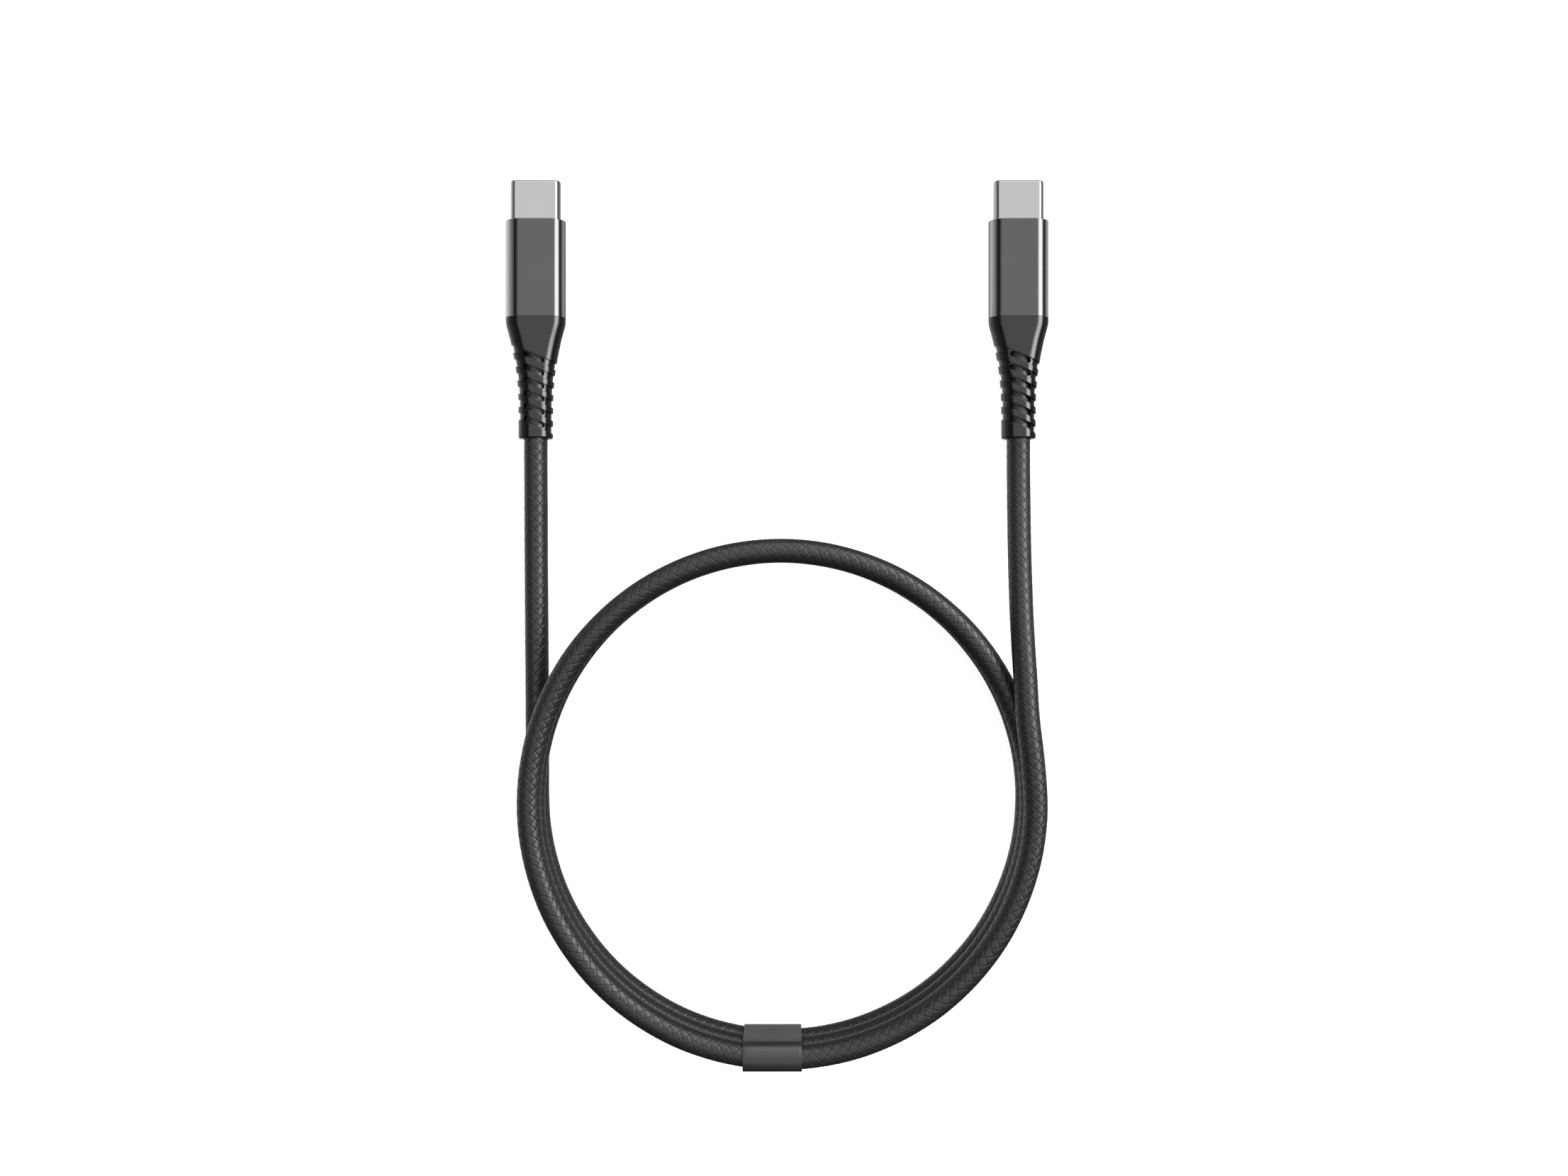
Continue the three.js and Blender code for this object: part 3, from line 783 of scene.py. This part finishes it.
def braid_material():
    k = Nodes("braided_yarn")
    uv = k.n("ShaderNodeUVMap", uv_map="fibre")
    mp = k.n("ShaderNodeMapping")
    mp.inputs["Scale"].default_value = (16.0, 1.1, 1.0)
    k.link(uv.outputs["UV"], mp.inputs["Vector"])
    fibre = k.noise(mp.outputs["Vector"], 1.0, 3.0, 0.55)
    mp2 = k.n("ShaderNodeMapping")
    mp2.inputs["Scale"].default_value = (3.0, 0.5, 1.0)
    k.link(uv.outputs["UV"], mp2.inputs["Vector"])
    strand = k.noise(mp2.outputs["Vector"], 1.0, 2.0, 0.5)
    groove = k.n("ShaderNodeAttribute", attribute_name="groove")
    yarn = k.n("ShaderNodeAttribute", attribute_name="yarn")
    wn = k.n("ShaderNodeTexWhiteNoise", noise_dimensions="1D")
    k.link(yarn.outputs["Fac"], wn.inputs["W"])
    # small soft patches of dust and handling along the length
    patches = k.noise(k.place((90, 90, 90)), 1.0, 3.0, 0.6)
    tone = k.mix(k.spread(fibre, 0.0, 1.0, 0.25, 0.75), (0.010, 0.010, 0.0103), (0.022, 0.022, 0.0224))
    tone = k.mix(k.spread(wn.outputs["Value"], 0.0, 0.35, 0.0, 1.0), tone, (0.026, 0.026, 0.0267))
    tone = k.mix(k.spread(patches, 0.0, 0.25), tone, (0.030, 0.0297, 0.0294))
    # painted shade: along the grooves between yarns the base colour goes nearly black, standing in for the shade that
    # falls in the crevices; the same mask also raises the roughness there
    groove_shade_mask = k.math("POWER", groove.outputs["Fac"], 1.5)
    tone = k.mix(k.math("MULTIPLY", groove_shade_mask, 0.85), tone, (0.002, 0.002, 0.002))
    k.set("Base Color", tone)
    rough = k.math("ADD", k.spread(fibre, -0.05, 0.05), k.spread(strand, 0.31, 0.38))
    k.set("Roughness", k.math("ADD", rough, k.math("MULTIPLY", groove_shade_mask, 0.4)))
    nrm = k.bump(fibre, 0.000010, 0.35)
    k.set("Normal", nrm)
    k.set("Specular IOR Level", 0.64)
    k.set("Sheen Weight", 0.0)
    return k.m


MAT = {
    "plug_steel": metal("satin_steel", (0.565, 0.565, 0.57), 0.07, 0.015, tint=0.015, grain=0.0000002),
    "collar_aluminium": metal("dark_anodised_aluminium", (0.137, 0.137, 0.139), 0.115, 0.015, tint=0.03, grain=0.0000002, convex_highlight=0.25),
    "relief_elastomer": plastic("black_elastomer", (0.003, 0.003, 0.0031), 0.135, 0.025, specular=0.82, grain=0.0000006),
    "band": plastic("band_rubber", (0.021, 0.021, 0.0216), 0.35, 0.05, specular=1.0, grain=0.000003, grain_scale=14000),
    "insulator_plastic": plastic("insulator_plastic", (0.010, 0.010, 0.0105), 0.32, 0.05, specular=0.5),
    "contact_gold": metal("contact_gold", (0.83, 0.60, 0.25), 0.22, 0.05, tint=0.08),
    "spring_steel": metal("spring_steel", (0.52, 0.52, 0.53), 0.30, 0.05, tint=0.08),
    "board_laminate": plastic("board_laminate", (0.012, 0.075, 0.025), 0.35, 0.06),
    "mould_plastic": plastic("mould_plastic", (0.62, 0.60, 0.55), 0.45, 0.06),
    "wire_red": plastic("wire_red", (0.42, 0.012, 0.012), 0.4),
    "wire_white": plastic("wire_white", (0.75, 0.75, 0.72), 0.4),
    "wire_black": plastic("wire_black", (0.012, 0.012, 0.012), 0.4),
    "wire_green": plastic("wire_green", (0.02, 0.23, 0.05), 0.4),
    "wire_blue": plastic("wire_blue", (0.018, 0.085, 0.36), 0.4),
    "braid": braid_material(),
}


def paint(obj, key):
    if obj.data.materials:
        for i in range(len(obj.data.materials)):
            obj.material_slots[i].material = MAT[key]
    else:
        obj.data.materials.append(MAT[key])


paint(cable, "braid")
paint(band, "band")
for o in shells:
    paint(o, "plug_steel")
for o in collars:
    paint(o, "collar_aluminium")
for o in boots:
    paint(o, "relief_elastomer")

NODE_LOOKS = (
    ("front_housing", "insulator_plastic"), ("contact_carrier", "insulator_plastic"), ("contact_", "contact_gold"),
    ("latch_plate", "spring_steel"), ("circuit_board", "board_laminate"), ("inner_mould", "mould_plastic"),
    ("crimp_ferrule", "spring_steel"), ("power_wire", "wire_red"), ("data_minus_wire", "wire_white"),
    ("ground_wire", "wire_black"), ("data_plus_wire", "wire_green"), ("signal_wire", "wire_blue"),
    ("connector_shell", "plug_steel"), ("collar", "collar_aluminium"), ("strain_relief", "relief_elastomer"),
)
for name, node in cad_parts.items():
    key = next((v for k, v in NODE_LOOKS if k in name), None)
    if name in ("left_lead", "right_lead", "wound_cable"):
        key = "braid"
    if name == "cable_band":
        key = "band"
    if key:
        paint(node, key)


# --------------------------------------------------------------- floor, lights
floor_mesh = bpy.data.meshes.new("floor")
floor_mesh.from_pydata([(-3, -3, 0), (3, -3, 0), (3, 3, 0), (-3, 3, 0)], [], [(0, 1, 2, 3)])
floor = bpy.data.objects.new("floor", floor_mesh)
scene.collection.objects.link(floor)
floor.location.z = -0.00002
fm = bpy.data.materials.new("pale_floor")
fm.use_nodes = True
ft = fm.node_tree
fb = ft.nodes["Principled BSDF"]
fb.inputs["Base Color"].default_value = (0.55, 0.55, 0.55, 1)
fb.inputs["Roughness"].default_value = 1.0
fb.inputs["Specular IOR Level"].default_value = 0.0
fb.inputs["Emission Color"].default_value = (1, 1, 1, 1)
fb.inputs["Emission Strength"].default_value = 0.86
floor.data.materials.append(fm)
floor.visible_glossy = False
floor.visible_diffuse = False
floor.visible_transmission = False
floor.visible_shadow = False


# brightness seen in each direction across the object: degrees from overhead, + to the right
PANEL = (
    (-180, 0.50), (-150, 0.66), (-125, 0.85), (-105, 0.68), (-94, 0.50), (-80, 0.28), (-68, 0.16), (-55, 0.10),
    (-48, 0.05), (-40, 0.05), (-35, 0.25), (-28, 0.82), (-24, 0.92), (28, 0.92), (34, 0.80), (62, 0.35),
    (72, 0.12), (84, 0.12), (97, 0.18), (112, 0.24), (135, 0.32), (180, 0.50),
)
KEY = ((-180, 0.0), (35, 0.0), (39, 2.2), (44.5, 6.0), (48, 6.4), (57, 6.4), (62, 5.0), (69, 0.0), (180, 0.0))


def build_world():
    """Soft boxes by direction: a bright one up to the right, a grey panel overhead, dimmer walls."""
    world = bpy.data.worlds.new("studio")
    scene.world = world
    world.use_nodes = True
    t = world.node_tree
    t.nodes.clear()

    def math_node(op, a, b=None, c=None):
        k = t.nodes.new("ShaderNodeMath")
        k.operation = op
        for v, i in ((a, 0), (b, 1), (c, 2)):
            if v is None:
                continue
            if isinstance(v, (int, float)):
                k.inputs[i].default_value = v
            else:
                t.links.new(v, k.inputs[i])
        return k.outputs[0]

    coord = t.nodes.new("ShaderNodeTexCoord")
    sep = t.nodes.new("ShaderNodeSeparateXYZ")
    t.links.new(coord.outputs["Generated"], sep.inputs[0])
    x, y, z = sep.outputs[0], sep.outputs[1], sep.outputs[2]
    deg = 180 / math.pi
    alpha = math_node("MULTIPLY", math_node("ARCTAN2", x, z), deg)  # 0 overhead, + to the right
    beta = math_node("MULTIPLY", math_node("ARCSINE", y), deg)  # + towards +Y

    def ramp(value, a, b, c=0.0, d=1.0):
        """c below a, d above b, smooth between."""
        k = t.nodes.new("ShaderNodeMapRange")
        k.interpolation_type = "SMOOTHSTEP"
        k.inputs["From Min"].default_value = a
        k.inputs["From Max"].default_value = b
        k.inputs["To Min"].default_value = c
        k.inputs["To Max"].default_value = d
        t.links.new(value, k.inputs["Value"])
        return k.outputs["Result"]

    def by_angle(stops, top):
        """Brightness by alpha, straight lines between (degrees, value) stops."""
        k = t.nodes.new("ShaderNodeValToRGB")
        k.color_ramp.interpolation = "LINEAR"
        el = k.color_ramp.elements
        while len(el) > 1:
            el.remove(el[-1])
        for i, (a, v) in enumerate(stops):
            e = el[0] if i == 0 else el.new((a + 180) / 360)
            e.position = (a + 180) / 360
            g = v / top
            e.color = (g, g, g, 1)
        fac = math_node("MULTIPLY_ADD", alpha, 1 / 360, 0.5)
        t.links.new(fac, k.inputs["Fac"])
        return math_node("MULTIPLY", k.outputs["Color"], top)

    panel = by_angle(PANEL, 4.0)
    key = by_angle(KEY, 8.0)
    # the key box is bounded fore and aft; the rest fades towards the near side and grows towards the far wall
    key = math_node("MULTIPLY", key, math_node("MULTIPLY", ramp(beta, -22.0, 4.0), ramp(beta, 60.0, 38.0)))
    panel = math_node("MULTIPLY", panel, math_node("MULTIPLY", ramp(beta, -44.0, -6.0, 0.14, 1.0), math_node("MULTIPLY", ramp(beta, 25.0, 68.0, 1.0, 1.9), ramp(beta, 84.0, 72.0, 0.08, 1.0))))
    # little comes back from below on the far side and the near side
    low = math_node("ADD", ramp(beta, 18.0, 42.0), ramp(beta, -8.0, -34.0))
    low = math_node("MULTIPLY", low, ramp(z, 0.10, -0.25))
    panel = math_node("MULTIPLY", panel, math_node("SUBTRACT", 1.0, math_node("MULTIPLY", low, 0.9)))
    total = math_node("ADD", math_node("ADD", key, panel), 0.025)
    light = t.nodes.new("ShaderNodeBackground")
    light.inputs["Color"].default_value = (1, 1, 1, 1)
    t.links.new(total, light.inputs["Strength"])
    plain = t.nodes.new("ShaderNodeBackground")
    plain.inputs["Color"].default_value = (1, 1, 1, 1)
    plain.inputs["Strength"].default_value = 1.0
    path = t.nodes.new("ShaderNodeLightPath")
    mix = t.nodes.new("ShaderNodeMixShader")
    t.links.new(path.outputs["Is Camera Ray"], mix.inputs["Fac"])
    t.links.new(light.outputs[0], mix.inputs[1])
    t.links.new(plain.outputs[0], mix.inputs[2])
    out = t.nodes.new("ShaderNodeOutputWorld")
    t.links.new(mix.outputs[0], out.inputs["Surface"])


build_world()


def side_lights():
    """Low strip lights either side that only the metal collars see, for the pale gradients along their edges."""
    seen_by = bpy.data.collections.new("collar_light")
    for o in collars:
        seen_by.objects.link(o)
    reach = 0.5
    strips = ((-66, -55, 0.50), (-78, -66, 1.00), (-90, -78, 1.55), (-132, -90, 2.05), (88, 100, 0.55), (100, 138, 1.25))
    for k, (a0, a1, level) in enumerate(strips):
        mid, wide = math.radians((a0 + a1) / 2), math.radians(a1 - a0)
        w, h = 2 * reach * math.tan(wide / 2), 1.2
        data = bpy.data.lights.new(f"side_strip_{k}", "AREA")
        data.shape = "RECTANGLE"
        data.size, data.size_y = w, h
        data.energy = level * math.pi * w * h
        obj = bpy.data.objects.new(f"side_strip_{k}", data)
        scene.collection.objects.link(obj)
        obj.location = (reach * math.sin(mid), 0.10, reach * math.cos(mid))
        obj.rotation_euler = (0.0, mid, 0.0)
        obj.visible_camera = False
        obj.light_linking.receiver_collection = seen_by


side_lights()
